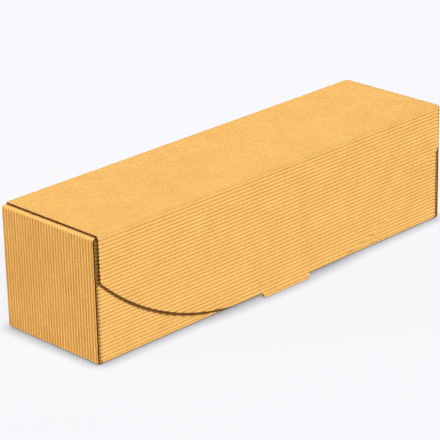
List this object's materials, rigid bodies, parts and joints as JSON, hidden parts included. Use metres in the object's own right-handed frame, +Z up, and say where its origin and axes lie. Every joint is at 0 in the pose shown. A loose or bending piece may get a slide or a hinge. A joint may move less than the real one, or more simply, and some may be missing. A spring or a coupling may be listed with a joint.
{
  "type": "closed cardboard box",
  "caption": "Long lay-down gift box folded from open-flute kraft board, with roll-over ends, a hinged lid and a curved front flap with a tuck tab.",
  "frame": {"origin": "on the floor, under the middle of the box: centre of the bottom panel at the crest of its middle flute", "axes": "+X along the length of the box, -Y towards the front flap, +Z up"},
  "size_m": [0.3504, 0.0981, 0.092],
  "materials": {
    "kraft_board": "matte"
  },
  "bodies": {
    "tray": {"tray": "kraft_board"},
    "lid": {"lid": "kraft_board"},
    "front_flap": {"front_flap": "kraft_board"}
  },
  "joints": [
    {"name": "lid_fold", "type": "hinge", "parent": "tray", "child": "lid", "pos_m": [0, 0.046, 0.092], "axis": [-1, 0, 0], "range_deg": [0, 135]},
    {"name": "flap_fold", "type": "hinge", "parent": "lid", "child": "front_flap", "pos_m": [0, -0.0478, 0.092], "axis": [-1, 0, 0], "range_deg": [-0.5, 87]}
  ]
}
